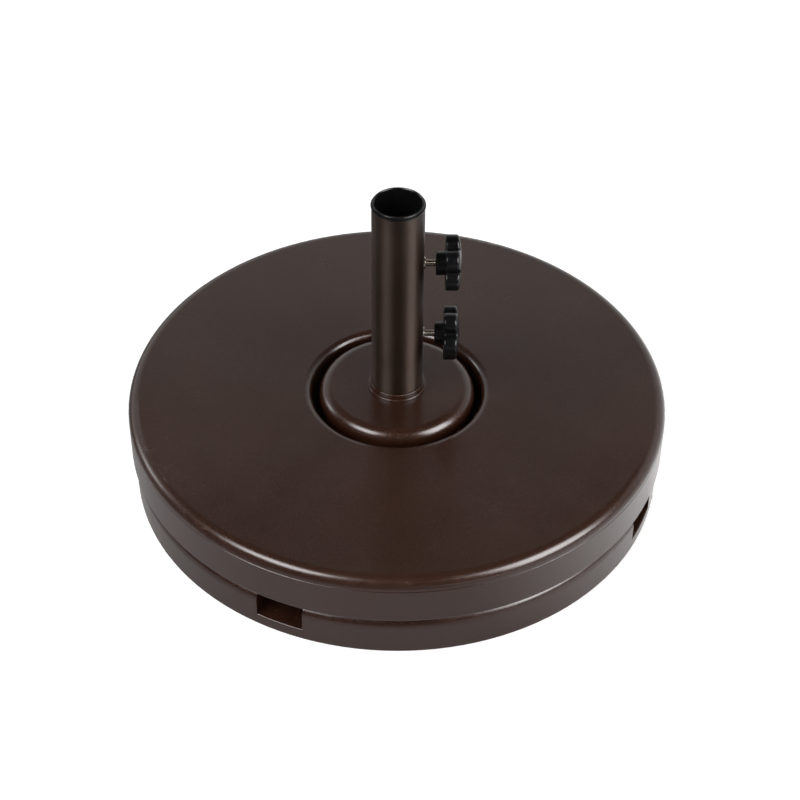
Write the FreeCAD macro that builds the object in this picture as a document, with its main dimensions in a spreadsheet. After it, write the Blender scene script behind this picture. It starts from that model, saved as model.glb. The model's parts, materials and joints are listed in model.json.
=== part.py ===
import FreeCAD, Part
import math
import os

import Sketcher
from FreeCAD import Placement, Rotation, Vector

# Two-piece stacking weight base for a parasol. A pressed steel shell filled with concrete
# stands on rubber pads and carries a hub, a socket and a steel stem. A ring-shaped weight
# drops over the stem and hub. Two star knobs in the stem clamp the parasol pole.
#
# Frame: millimetres, +Z up. The origin lies on the stem's axis at the floor. The four hand
# pockets lie on the X and Y axes, and the knobs point along knob_bearing, counted from +X.

SIZES = [
    # base weight
    ("base_diameter", 603.4),
    ("base_height", 45.8),
    ("foot_rise", 2.0),
    ("foot_radius", 20.0),
    ("foot_inset", 55.0),
    ("sheet", 1.5),
    ("shoulder_radius", 12.5),
    ("plate_thickness", 1.5),
    ("plate_recess", 1.0),
    ("plate_gap", 0.2),
    ("fill_gap", 0.3),
    # hand pockets
    ("pocket_width", 54.0),
    ("pocket_depth", 45.0),
    ("pocket_floor", 13.5),
    ("pocket_sheet", 2.0),
    ("pocket_lip_round", 1.5),
    ("pocket_gap", 0.1),
    # hub and socket
    ("hub_diameter", 176.0),
    ("hub_height", 67.2),
    ("hub_round", 13.5),
    ("socket_wall", 2.0),
    ("socket_gap", 0.15),
    ("weld_gap", 0.1),
    ("collar_rise", 8.0),
    ("collar_ring_width", 1.7),
    ("collar_ring_height", 2.0),
    ("collar_ring_round", 1.2),
    ("socket_floor_level", 18.0),
    ("socket_floor_thickness", 6.0),
    # stem
    ("stem_diameter", 57.15),
    ("stem_wall", 2.0),
    ("stem_length", 339.0),
    ("plug_thickness", 10.0),
    ("plug_gap", 0.1),
    ("bolt_diameter", 12.0),
    ("bolt_hole_gap", 0.5),
    ("bolt_across_flats", 18.0),
    ("bolt_head_height", 7.5),
    ("bolt_thread_gap", 0.02),
    ("washer_diameter", 24.0),
    ("washer_thickness", 2.5),
    ("spanner_room", 22.0),
    # liner
    ("liner_wall", 0.975),
    ("liner_gap", 0.1),
    ("rim_height", 4.0),
    ("rim_overhang", 0.8),
    ("rim_flange", 1.2),
    ("rim_set_in", 0.4),
    ("rim_round", 1.4),
    ("mouth_chamfer", 0.8),
    # ring weight
    ("ring_diameter", 610.0),
    ("ring_height", 59.5),
    ("stack_gap", 3.0),
    ("hub_gap", 9.0),
    ("hole_round", 9.0),
    ("hole_skirt", 12.0),
    ("cap_skirt", 1.6),
    ("seam_gap", 1.2),
    ("lap_gap", 0.1),
    ("lap_top_gap", 0.3),
    ("lip_round", 3.0),
    ("lip_width", 14.0),
    ("ring_pad_radius", 15.0),
    # clamp screws and knobs
    ("knob_bearing", 24.2),
    ("upper_knob_drop", 75.7),
    ("knob_spacing", 97.8),
    ("bush_radius", 6.5),
    ("bush_stand_out", 1.2),
    ("bush_gap", 0.05),
    ("stud_diameter", 8.0),
    ("stud_running_gap", 0.05),
    ("stud_hole_gap", 0.4),
    ("stud_tip_gap", 0.2),
    ("stud_chamfer", 0.8),
    ("bare_stud", 12.4),
    ("boss_diameter", 26.5),
    ("boss_length", 10.0),
    ("boss_chamfer", 0.8),
    ("head_thickness", 18.0),
    ("head_crown", 3.7),
    ("lobe_circle_radius", 19.3),
    ("lobe_radius", 12.0),
    ("valley_radius", 3.0),
    ("head_outer_round", 3.5),
    ("head_inner_round", 2.0),
    ("dish_radius", 12.0),
    ("dish_depth", 1.2),
    ("insert_radius", 7.0),
    ("insert_recess", 0.5),
    ("insert_length", 15.0),
    ("stud_seat_length", 4.0),
    ("upper_knob_turn", 11.9),
    ("lower_knob_turn", 54.8),
]

POCKET_COUNT = 4
FOOT_COUNT = 6
RING_PAD_COUNT = 6
LOBE_COUNT = 5

# Radii and heights that several pieces share, as expressions in the sheet's names.
BASE_RADIUS = "(Sizes.base_diameter / 2)"
BASE_EDGE = "Sizes.foot_rise"
BASE_TOP = "(Sizes.foot_rise + Sizes.base_height)"
BASE_PLATE_BOTTOM = "(Sizes.foot_rise + Sizes.plate_recess)"
BASE_PLATE_TOP = f"({BASE_PLATE_BOTTOM} + Sizes.plate_thickness)"
POCKET_FLOOR = "(Sizes.foot_rise + Sizes.pocket_floor)"
HUB_RADIUS = "(Sizes.hub_diameter / 2)"
HUB_TOP = f"({BASE_TOP} + Sizes.hub_height)"
STEM_RADIUS = "(Sizes.stem_diameter / 2)"
STEM_INSIDE = f"({STEM_RADIUS} - Sizes.stem_wall)"
SOCKET_INSIDE = f"({STEM_RADIUS} + Sizes.socket_gap)"
SOCKET_RADIUS = f"({SOCKET_INSIDE} + Sizes.socket_wall)"
STEM_FOOT = "(Sizes.socket_floor_level + Sizes.socket_floor_thickness)"
STEM_TOP = f"({STEM_FOOT} + Sizes.stem_length)"
PLUG_TOP = f"({STEM_FOOT} + Sizes.plug_thickness)"
LINER_RADIUS = f"({STEM_INSIDE} - Sizes.liner_gap)"
BORE_RADIUS = f"({LINER_RADIUS} - Sizes.liner_wall)"
RING_RADIUS = "(Sizes.ring_diameter / 2)"
RING_BOTTOM = f"({BASE_TOP} + Sizes.stack_gap)"
RING_TOP = f"({RING_BOTTOM} + Sizes.ring_height)"
RING_PLATE_BOTTOM = f"({RING_BOTTOM} + Sizes.sheet)"
RING_PLATE_TOP = f"({RING_PLATE_BOTTOM} + Sizes.plate_thickness)"
HOLE_RADIUS = f"({HUB_RADIUS} + Sizes.hub_gap)"
INNER_WALL_INSIDE = f"({HOLE_RADIUS} + Sizes.sheet + Sizes.lap_gap)"
SEAM_TOP = f"({RING_TOP} - Sizes.shoulder_radius - Sizes.cap_skirt)"
SEAM_BOTTOM = f"({SEAM_TOP} - Sizes.seam_gap)"
LAP_TOP = f"({RING_TOP} - Sizes.shoulder_radius - Sizes.lap_top_gap)"
LAP_OUTSIDE = f"({RING_RADIUS} - Sizes.sheet - Sizes.lap_gap)"
LAP_INSIDE = f"({LAP_OUTSIDE} - Sizes.sheet)"
UPPER_KNOB_HEIGHT = f"({STEM_TOP} - Sizes.upper_knob_drop)"
LOWER_KNOB_HEIGHT = f"({UPPER_KNOB_HEIGHT} - Sizes.knob_spacing)"
STUD_RADIUS = "(Sizes.stud_diameter / 2)"
STUD_TIP = f"({BORE_RADIUS} + Sizes.stud_tip_gap)"
BOSS_START = f"({STEM_RADIUS} + Sizes.bare_stud)"
HEAD_START = f"({BOSS_START} + Sizes.boss_length)"
INSERT_START = f"({BOSS_START} + Sizes.insert_recess)"
INSERT_END = f"({INSERT_START} + Sizes.insert_length)"

doc = FreeCAD.newDocument("parasol_base")
sheet = doc.addObject("Spreadsheet::Sheet", "Sizes")
for row, (alias, number) in enumerate(SIZES, start=1):
    sheet.set(f"A{row}", alias)
    sheet.set(f"B{row}", str(number))
    sheet.setAlias(f"B{row}", alias)
doc.recompute()

pieces = []


def value(expression):
    """The number that an expression in the sheet's names comes to."""
    return float(sheet.evalExpression(expression))


def new_body(name):
    body = doc.addObject("PartDesign::Body", name)
    body.Label = name
    return body


def finished(piece, placement=None):
    """Give a sub-part its place and list it among the pieces to be written."""
    if placement is not None:
        piece.Placement = placement
    pieces.append(piece)
    return piece


def sketch_on(body, name, plane, level=None):
    """An empty sketch on one of the body's own planes, raised to a level if one is given."""
    sketch = body.newObject("Sketcher::SketchObject", name)
    support = [part for part in body.Origin.OriginFeatures if part.Role == plane][0]
    sketch.AttachmentSupport = [(support, "")]
    sketch.MapMode = "FlatFace"
    if level is not None:
        sketch.setExpression("AttachmentOffset.Base.z", level)
    return sketch


def hold_point(sketch, geometry, point, name, place):
    """Tie one point of a sketch to a pair of expressions."""
    for axis, expression in zip("XY", place):
        rule = Sketcher.Constraint("Distance" + axis, -1, 1, geometry, point, value(expression))
        index = sketch.addConstraint(rule)
        sketch.renameConstraint(index, f"{name}_{axis.lower()}")
        sketch.setExpression(f"Constraints.{name}_{axis.lower()}", expression)


def outline(body, name, plane, corners, level=None):
    """A closed outline of straight sides. Each corner is a pair of expressions."""
    sketch = sketch_on(body, name, plane, level)
    points = [Vector(value(across), value(up), 0) for across, up in corners]
    count = len(points)
    for number in range(count):
        sketch.addGeometry(Part.LineSegment(points[number], points[(number + 1) % count]))
    for number in range(count):
        sketch.addConstraint(
            Sketcher.Constraint("Coincident", number, 2, (number + 1) % count, 1)
        )
    for number, corner in enumerate(corners):
        hold_point(sketch, number, 1, f"corner_{number + 1}", corner)
    return sketch


def circle(body, name, plane, centre, radius):
    """A circle with its centre at a pair of expressions."""
    sketch = sketch_on(body, name, plane)
    middle = Vector(value(centre[0]), value(centre[1]), 0)
    sketch.addGeometry(Part.Circle(middle, Vector(0, 0, 1), value(radius)))
    hold_point(sketch, 0, 3, "centre", centre)
    index = sketch.addConstraint(Sketcher.Constraint("Radius", 0, value(radius)))
    sketch.renameConstraint(index, "radius")
    sketch.setExpression("Constraints.radius", radius)
    return sketch


def round_edge(body, place, radius):
    """Round the circular edges that lie at a radius and a height."""
    across, up = value(place[0]), value(place[1])
    base = body.Tip
    edges = []
    for number, edge in enumerate(base.Shape.Edges, start=1):
        curve = edge.Curve
        if isinstance(curve, Part.Circle) and abs(curve.Axis.z) > 0.999:
            if abs(curve.Radius - across) < 1e-3 and abs(curve.Center.z - up) < 1e-3:
                edges.append(f"Edge{number}")
    if not edges:
        raise ValueError(f"{body.Label} has no round edge at {place}")
    fillet = body.newObject("PartDesign::Fillet", f"{body.Name}_round")
    fillet.Base = (base, edges)
    fillet.setExpression("Radius", radius)
    doc.recompute()


def turned(name, corners, rounds=()):
    """A spun or turned piece: an outline swept once round the vertical axis.

    Each corner is a pair of expressions, radius then height. Each round names a corner and
    the radius that its edge is rounded to.
    """
    body = new_body(name)
    profile = outline(body, f"{name}_outline", "XZ_Plane", corners)
    turn = body.newObject("PartDesign::Revolution", f"{name}_turn")
    turn.Profile = profile
    turn.ReferenceAxis = (profile, ["V_Axis"])
    turn.Angle = 360
    doc.recompute()
    for place, radius in rounds:
        round_edge(body, place, radius)
    return body


def cut_all_through(body, profile):
    """Pocket a profile away along its own +normal, and check that it took material off."""
    before = body.Shape.Volume
    pocket = body.newObject("PartDesign::Pocket", f"{profile.Name}_cut")
    pocket.Profile = profile
    pocket.Type = "ThroughAll"
    pocket.Reversed = True
    doc.recompute()
    if pocket.Shape.Volume >= before:
        raise ValueError(f"{pocket.Name} cut nothing")
    return pocket


def cut_pockets(body, gap):
    """Cut room for the hand pocket trays, with a gap on every side, at equal turns."""
    start = f"{BASE_RADIUS} - Sizes.pocket_depth - Sizes.pocket_sheet - {gap}"
    end = f"{BASE_RADIUS} + Sizes.sheet"
    side = f"Sizes.pocket_width / 2 + Sizes.pocket_sheet + {gap}"
    level = f"{POCKET_FLOOR} - Sizes.pocket_sheet - {gap}"
    corners = [(start, f"-({side})"), (end, f"-({side})"), (end, side), (start, side)]
    profile = outline(body, f"{body.Name}_pocket", "XY_Plane", corners, level)
    pocket = cut_all_through(body, profile)
    pattern = body.newObject("PartDesign::PolarPattern", f"{body.Name}_pockets")
    pattern.Originals = [pocket]
    pattern.Axis = (profile, ["N_Axis"])
    pattern.Angle = 360
    pattern.Occurrences = POCKET_COUNT
    body.Tip = pattern
    doc.recompute()


def disc_group(name, count, first_angle, circle_radius, radius, bottom, height):
    """Equal discs spaced evenly on a circle, kept as separate solids of one node."""
    discs = []
    for number in range(count):
        disc = doc.addObject("Part::Cylinder", f"{name}_{number + 1}")
        angle = first_angle + 360.0 * number / count
        disc.setExpression("Radius", radius)
        disc.setExpression("Height", height)
        disc.setExpression("Placement.Base.x", f"{circle_radius} * cos({angle} deg)")
        disc.setExpression("Placement.Base.y", f"{circle_radius} * sin({angle} deg)")
        disc.setExpression("Placement.Base.z", bottom)
        discs.append(disc)
    group = doc.addObject("Part::Compound", name)
    group.Label = name
    group.Links = discs
    return finished(group)


def facing_knobs():
    """Turns a piece drawn with its knobs along +X to the knobs' bearing."""
    return Placement(Vector(0, 0, 0), Rotation(Vector(0, 0, 1), value("Sizes.knob_bearing")))


def on_knob_axis(height, turn="0"):
    """Lays a piece drawn up its own +Z along a clamp screw's axis, at a height on the stem."""
    outward = Rotation(Vector(0, 0, 1), value("Sizes.knob_bearing"))
    tip_over = Rotation(Vector(0, 1, 0), 90)
    spin = Rotation(Vector(0, 0, 1), value(turn))
    return Placement(Vector(0, 0, value(height)), outward * tip_over * spin)


# ---- base weight ----------------------------------------------------------------------


def make_base_shell():
    """Pressed shell: flat top with the hub's opening, rounded shoulder and plain rim band."""
    opening = f"{HUB_RADIUS} - Sizes.sheet"
    inside = f"{BASE_RADIUS} - Sizes.sheet"
    under = f"{BASE_TOP} - Sizes.sheet"
    body = turned(
        "base_shell",
        [
            (opening, under),
            (inside, under),
            (inside, BASE_EDGE),
            (BASE_RADIUS, BASE_EDGE),
            (BASE_RADIUS, BASE_TOP),
            (opening, BASE_TOP),
        ],
        [
            ((BASE_RADIUS, BASE_TOP), "Sizes.shoulder_radius"),
            ((inside, under), "Sizes.shoulder_radius - Sizes.sheet"),
        ],
    )
    cut_pockets(body, "Sizes.pocket_gap")
    return finished(body)


def make_base_concrete():
    """Concrete fill of the shell, with a core up inside the hub and room for the socket."""
    bore = f"{SOCKET_RADIUS} + Sizes.fill_gap"
    bottom = f"{BASE_PLATE_TOP} + Sizes.fill_gap"
    rim = f"{BASE_RADIUS} - Sizes.sheet - Sizes.fill_gap"
    top = f"{BASE_TOP} - Sizes.sheet - Sizes.fill_gap"
    core = f"{HUB_RADIUS} - Sizes.sheet - Sizes.fill_gap"
    core_top = f"{HUB_TOP} - Sizes.sheet - Sizes.fill_gap"
    body = turned(
        "base_concrete",
        [
            (bore, bottom),
            (rim, bottom),
            (rim, top),
            (core, top),
            (core, core_top),
            (bore, core_top),
        ],
        [
            ((rim, top), "Sizes.shoulder_radius - Sizes.sheet - Sizes.fill_gap"),
            ((core, core_top), "Sizes.hub_round - Sizes.sheet - Sizes.fill_gap"),
        ],
    )
    cut_pockets(body, "Sizes.fill_gap")
    return finished(body)


def make_base_bottom_plate():
    """Plate that closes the shell from below, open round the socket for a spanner."""
    rim = f"{BASE_RADIUS} - Sizes.sheet - Sizes.plate_gap"
    body = turned(
        "base_bottom_plate",
        [
            ("Sizes.spanner_room", BASE_PLATE_BOTTOM),
            (rim, BASE_PLATE_BOTTOM),
            (rim, BASE_PLATE_TOP),
            ("Sizes.spanner_room", BASE_PLATE_TOP),
        ],
    )
    return finished(body)


def make_hand_pocket(number):
    """Pressed tray of one hand pocket, open at the rim and at the top, its lip rounded."""
    name = f"hand_pocket_{number}"
    back = f"{BASE_RADIUS} - Sizes.pocket_depth"
    beyond = f"{BASE_RADIUS} + Sizes.sheet"
    half = "Sizes.pocket_width / 2"
    wide = f"{half} + Sizes.pocket_sheet"
    under = f"{POCKET_FLOOR} - Sizes.pocket_sheet"
    body = new_body(name)
    blank_corners = [
        (f"{back} - Sizes.pocket_sheet", f"-({wide})"),
        (beyond, f"-({wide})"),
        (beyond, wide),
        (f"{back} - Sizes.pocket_sheet", wide),
    ]
    blank = outline(body, f"{name}_blank", "XY_Plane", blank_corners, under)
    block = body.newObject("PartDesign::Pad", f"{name}_block")
    block.Profile = blank
    block.setExpression("Length", f"{BASE_TOP} - ({under})")
    doc.recompute()
    room_corners = [
        (back, f"-({half})"),
        (f"{beyond} + Sizes.sheet", f"-({half})"),
        (f"{beyond} + Sizes.sheet", half),
        (back, half),
    ]
    room = outline(body, f"{name}_room", "XY_Plane", room_corners, POCKET_FLOOR)
    cut_all_through(body, room)
    trim_corners = [
        (BASE_RADIUS, "0"),
        (f"{BASE_RADIUS} + Sizes.pocket_width", "0"),
        (f"{BASE_RADIUS} + Sizes.pocket_width", f"{BASE_TOP} + Sizes.sheet"),
        (BASE_RADIUS, f"{BASE_TOP} + Sizes.sheet"),
    ]
    trim = outline(body, f"{name}_trim", "XZ_Plane", trim_corners)
    groove = body.newObject("PartDesign::Groove", f"{name}_trim_cut")
    groove.Profile = trim
    groove.ReferenceAxis = (trim, ["V_Axis"])
    groove.Angle = 360
    doc.recompute()
    round_edge(body, (BASE_RADIUS, BASE_TOP), "Sizes.shoulder_radius")
    round_edge(body, (BASE_RADIUS, POCKET_FLOOR), "Sizes.pocket_lip_round")
    turn = Rotation(Vector(0, 0, 1), 360.0 * (number - 1) / POCKET_COUNT)
    return finished(body, Placement(Vector(0, 0, 0), turn))


def make_hub_cup():
    """Raised hub: an upturned cup on the shell, its top edge well rounded."""
    inside = f"{HUB_RADIUS} - Sizes.sheet"
    under = f"{HUB_TOP} - Sizes.sheet"
    hole = f"{SOCKET_RADIUS} + Sizes.weld_gap"
    body = turned(
        "hub_cup",
        [
            (inside, BASE_TOP),
            (HUB_RADIUS, BASE_TOP),
            (HUB_RADIUS, HUB_TOP),
            (hole, HUB_TOP),
            (hole, under),
            (inside, under),
        ],
        [
            ((HUB_RADIUS, HUB_TOP), "Sizes.hub_round"),
            ((inside, under), "Sizes.hub_round - Sizes.sheet"),
        ],
    )
    return finished(body)


def make_socket_tube():
    """Tube that takes the stem, from the bottom plate up through the hub; its end is the collar."""
    top = f"{HUB_TOP} + Sizes.collar_rise"
    body = turned(
        "socket_tube",
        [
            (SOCKET_INSIDE, BASE_PLATE_TOP),
            (SOCKET_RADIUS, BASE_PLATE_TOP),
            (SOCKET_RADIUS, top),
            (SOCKET_INSIDE, top),
        ],
        [((SOCKET_RADIUS, top), "Sizes.socket_wall * 0.4")],
    )
    return finished(body)


def make_collar_ring():
    """Weld ring that closes the joint between the hub and the socket."""
    inside = f"{SOCKET_RADIUS} + Sizes.weld_gap"
    outside = f"{inside} + Sizes.collar_ring_width"
    top = f"{HUB_TOP} + Sizes.collar_ring_height"
    body = turned(
        "collar_ring",
        [(inside, HUB_TOP), (outside, HUB_TOP), (outside, top), (inside, top)],
        [((outside, top), "Sizes.collar_ring_round")],
    )
    return finished(body)


def make_socket_floor():
    """Disc in the socket that the stem stands on, with a clear hole for the bolt."""
    rim = f"{SOCKET_INSIDE} - Sizes.weld_gap"
    hole = "Sizes.bolt_diameter / 2 + Sizes.bolt_hole_gap"
    body = turned(
        "socket_floor",
        [
            (hole, "Sizes.socket_floor_level"),
            (rim, "Sizes.socket_floor_level"),
            (rim, STEM_FOOT),
            (hole, STEM_FOOT),
        ],
    )
    return finished(body)


def make_foot_pads():
    """Rubber pads under the bottom plate."""
    return disc_group(
        "foot_pads",
        FOOT_COUNT,
        180.0 / FOOT_COUNT,
        f"({BASE_RADIUS} - Sizes.foot_inset)",
        "Sizes.foot_radius",
        "0",
        BASE_PLATE_BOTTOM,
    )


# ---- stem -----------------------------------------------------------------------------


def cut_side_holes(body, radius):
    """Cut the two clamp screws' holes through the +X side of a tube."""
    for level_name, height in (("upper", UPPER_KNOB_HEIGHT), ("lower", LOWER_KNOB_HEIGHT)):
        name = f"{body.Name}_{level_name}_hole"
        cut_all_through(body, circle(body, name, "YZ_Plane", ("0", height), radius))


def make_stem_tube():
    """Steel stem with two holes for the clamp screws' bushes."""
    body = turned(
        "stem_tube",
        [
            (STEM_INSIDE, STEM_FOOT),
            (STEM_RADIUS, STEM_FOOT),
            (STEM_RADIUS, STEM_TOP),
            (STEM_INSIDE, STEM_TOP),
        ],
    )
    cut_side_holes(body, "Sizes.bush_radius + Sizes.bush_gap")
    return finished(body, facing_knobs())


def make_stem_end_plug():
    """Disc welded in the stem's lower end, threaded for the bolt from below."""
    rim = f"{STEM_INSIDE} - Sizes.plug_gap"
    hole = "Sizes.bolt_diameter / 2 + Sizes.bolt_thread_gap"
    body = turned(
        "stem_end_plug",
        [(hole, STEM_FOOT), (rim, STEM_FOOT), (rim, PLUG_TOP), (hole, PLUG_TOP)],
    )
    return finished(body)


def make_stem_bolt():
    """Hexagon bolt that draws the stem down on the socket floor."""
    head_top = "(Sizes.socket_floor_level - Sizes.washer_thickness)"
    head_bottom = f"({head_top} - Sizes.bolt_head_height)"
    head = doc.addObject("Part::Prism", "stem_bolt_head")
    head.Polygon = 6
    head.setExpression("Circumradius", "Sizes.bolt_across_flats / 2 / cos(30 deg)")
    head.setExpression("Height", "Sizes.bolt_head_height")
    head.setExpression("Placement.Base.z", head_bottom)
    shank = doc.addObject("Part::Cylinder", "stem_bolt_shank")
    shank.setExpression("Radius", "Sizes.bolt_diameter / 2")
    shank.setExpression("Height", f"{PLUG_TOP} - {head_bottom} - Sizes.sheet")
    shank.setExpression("Placement.Base.z", head_bottom)
    bolt = doc.addObject("Part::Fuse", "stem_bolt")
    bolt.Label = "stem_bolt"
    bolt.Base = head
    bolt.Tool = shank
    return finished(bolt)


def make_stem_bolt_washer():
    """Plain washer between the bolt's head and the socket floor."""
    bottom = "Sizes.socket_floor_level - Sizes.washer_thickness"
    hole = "Sizes.bolt_diameter / 2 + Sizes.bolt_hole_gap"
    rim = "Sizes.washer_diameter / 2"
    body = turned(
        "stem_bolt_washer",
        [
            (hole, bottom),
            (rim, bottom),
            (rim, "Sizes.socket_floor_level"),
            (hole, "Sizes.socket_floor_level"),
        ],
    )
    return finished(body)


def make_stem_liner():
    """Plastic sleeve that lines the stem; its rim sits on the tube's end with a thin flange."""
    flange = f"{STEM_RADIUS} + Sizes.rim_overhang"
    flange_top = f"{STEM_TOP} + Sizes.rim_flange"
    rim = f"{STEM_RADIUS} - Sizes.rim_set_in"
    top = f"{STEM_TOP} + Sizes.rim_height"
    mouth = f"{BORE_RADIUS} + Sizes.mouth_chamfer"
    body = turned(
        "stem_liner",
        [
            (BORE_RADIUS, PLUG_TOP),
            (LINER_RADIUS, PLUG_TOP),
            (LINER_RADIUS, STEM_TOP),
            (flange, STEM_TOP),
            (flange, flange_top),
            (rim, flange_top),
            (rim, top),
            (mouth, top),
            (BORE_RADIUS, f"{top} - Sizes.mouth_chamfer"),
        ],
        [((rim, top), "Sizes.rim_round")],
    )
    cut_side_holes(body, f"{STUD_RADIUS} + Sizes.stud_hole_gap")
    return finished(body, facing_knobs())


# ---- ring weight ----------------------------------------------------------------------


def make_ring_cap():
    """Pressed top of the ring: outer and inner shoulders that end in short skirts."""
    inside = f"{HOLE_RADIUS} + Sizes.sheet"
    outside = f"{RING_RADIUS} - Sizes.sheet"
    under = f"{RING_TOP} - Sizes.sheet"
    hole_bottom = f"{RING_TOP} - Sizes.hole_round - Sizes.hole_skirt"
    body = turned(
        "ring_cap",
        [
            (HOLE_RADIUS, hole_bottom),
            (HOLE_RADIUS, RING_TOP),
            (RING_RADIUS, RING_TOP),
            (RING_RADIUS, SEAM_TOP),
            (outside, SEAM_TOP),
            (outside, under),
            (inside, under),
            (inside, hole_bottom),
        ],
        [
            ((RING_RADIUS, RING_TOP), "Sizes.shoulder_radius"),
            ((outside, under), "Sizes.shoulder_radius - Sizes.sheet"),
            ((HOLE_RADIUS, RING_TOP), "Sizes.hole_round"),
            ((inside, under), "Sizes.hole_round - Sizes.sheet"),
        ],
    )
    return finished(body)


def make_ring_band():
    """Rolled side band: its top edge is joggled in behind the cap, its lower lip turned in."""
    inside = f"{RING_RADIUS} - Sizes.sheet"
    lip_end = f"{RING_RADIUS} - Sizes.lip_width"
    joggle_top = f"{SEAM_TOP} - Sizes.lap_gap"
    thinning = "Sizes.sheet * 0.6"
    body = turned(
        "ring_band",
        [
            (lip_end, RING_BOTTOM),
            (RING_RADIUS, RING_BOTTOM),
            (RING_RADIUS, SEAM_BOTTOM),
            (LAP_OUTSIDE, joggle_top),
            (LAP_OUTSIDE, LAP_TOP),
            (LAP_INSIDE, LAP_TOP),
            (LAP_INSIDE, f"{joggle_top} - {thinning}"),
            (inside, f"{SEAM_BOTTOM} - {thinning}"),
            (inside, RING_PLATE_BOTTOM),
            (lip_end, RING_PLATE_BOTTOM),
        ],
        [
            ((RING_RADIUS, RING_BOTTOM), "Sizes.lip_round"),
            ((inside, RING_PLATE_BOTTOM), "Sizes.lip_round - Sizes.sheet"),
        ],
    )
    return finished(body)


def make_ring_inner_wall():
    """Wall of the centre hole, behind the cap's inner skirt."""
    outside = f"{INNER_WALL_INSIDE} + Sizes.sheet"
    top = f"{RING_TOP} - Sizes.hole_round - Sizes.lap_top_gap"
    body = turned(
        "ring_inner_wall",
        [
            (INNER_WALL_INSIDE, RING_PLATE_TOP),
            (outside, RING_PLATE_TOP),
            (outside, top),
            (INNER_WALL_INSIDE, top),
        ],
    )
    return finished(body)


def make_ring_bottom_plate():
    """Flat annulus that closes the ring from below, on the band's turned-in lip."""
    rim = f"{RING_RADIUS} - Sizes.lip_round - Sizes.plate_gap"
    body = turned(
        "ring_bottom_plate",
        [
            (INNER_WALL_INSIDE, RING_PLATE_BOTTOM),
            (rim, RING_PLATE_BOTTOM),
            (rim, RING_PLATE_TOP),
            (INNER_WALL_INSIDE, RING_PLATE_TOP),
        ],
    )
    return finished(body)


def make_ring_concrete():
    """Concrete fill of the ring."""
    inside = f"{INNER_WALL_INSIDE} + Sizes.sheet + Sizes.fill_gap"
    outside = f"{LAP_INSIDE} - Sizes.fill_gap"
    bottom = f"{RING_PLATE_TOP} + Sizes.fill_gap"
    top = f"{RING_TOP} - Sizes.sheet - Sizes.fill_gap"
    body = turned(
        "ring_concrete",
        [(inside, bottom), (outside, bottom), (outside, top), (inside, top)],
        [
            ((outside, top), "Sizes.shoulder_radius - Sizes.sheet - Sizes.fill_gap"),
            ((inside, top), "Sizes.hole_round - Sizes.sheet - Sizes.fill_gap"),
        ],
    )
    return finished(body)


def make_ring_pads():
    """Thin rubber pads that keep the ring's lip off the base."""
    return disc_group(
        "ring_pads",
        RING_PAD_COUNT,
        180.0 / RING_PAD_COUNT,
        f"(({HOLE_RADIUS} + {RING_RADIUS}) / 2)",
        "Sizes.ring_pad_radius",
        BASE_TOP,
        f"{RING_PLATE_BOTTOM} - {BASE_TOP}",
    )


# ---- clamp screws ---------------------------------------------------------------------
# Each piece is drawn round its own +Z, which is the screw's axis pointing away from the
# stem, with heights counted from the stem's axis.


def make_bush(name, height):
    """Threaded bush set in the stem's wall."""
    hole = f"{STUD_RADIUS} + Sizes.stud_running_gap"
    bottom = f"{STEM_INSIDE}"
    top = f"{STEM_RADIUS} + Sizes.bush_stand_out"
    body = turned(
        name,
        [
            (hole, bottom),
            ("Sizes.bush_radius", bottom),
            ("Sizes.bush_radius", top),
            (hole, top),
        ],
        [(("Sizes.bush_radius", top), "Sizes.bush_stand_out * 0.5")],
    )
    return finished(body, on_knob_axis(height))


def make_stud(name, height):
    """Steel stud with a bevelled tip, held in the knob's head."""
    tip_radius = f"{STUD_RADIUS} - Sizes.stud_chamfer"
    end = f"{INSERT_END} + Sizes.stud_seat_length"
    body = turned(
        name,
        [
            ("0", STUD_TIP),
            (tip_radius, STUD_TIP),
            (STUD_RADIUS, f"{STUD_TIP} + Sizes.stud_chamfer"),
            (STUD_RADIUS, end),
            ("0", end),
        ],
    )
    return finished(body, on_knob_axis(height))


def make_insert(name, height):
    """Steel insert ring in the knob's boss, round the stud."""
    hole = f"{STUD_RADIUS} + Sizes.stud_running_gap"
    body = turned(
        name,
        [
            (hole, INSERT_START),
            ("Sizes.insert_radius", INSERT_START),
            ("Sizes.insert_radius", INSERT_END),
            (hole, INSERT_END),
        ],
    )
    return finished(body, on_knob_axis(height))


def star_face(level):
    """Face of the star head: lobes joined by hollows that run into them without a corner."""
    lobe_circle = value("Sizes.lobe_circle_radius")
    lobe = value("Sizes.lobe_radius")
    valley = value("Sizes.valley_radius")
    half_step = math.pi / LOBE_COUNT
    reach = lobe + valley
    across = lobe_circle * math.sin(half_step)
    valley_circle = lobe_circle * math.cos(half_step) + math.sqrt(reach**2 - across**2)

    def at(radius, angle):
        return Vector(radius * math.cos(angle), radius * math.sin(angle), level)

    def meeting(lobe_centre, valley_centre):
        return lobe_centre + (valley_centre - lobe_centre) * (lobe / reach)

    edges = []
    for number in range(LOBE_COUNT):
        angle = 2 * half_step * number
        lobe_centre = at(lobe_circle, angle)
        before = meeting(lobe_centre, at(valley_circle, angle - half_step))
        valley_centre = at(valley_circle, angle + half_step)
        after = meeting(lobe_centre, valley_centre)
        following = meeting(at(lobe_circle, angle + 2 * half_step), valley_centre)
        edges.append(Part.Arc(before, at(lobe_circle + lobe, angle), after).toShape())
        hollow = at(valley_circle - valley, angle + half_step)
        edges.append(Part.Arc(after, hollow, following).toShape())
    return Part.Face(Part.Wire(edges))


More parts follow.
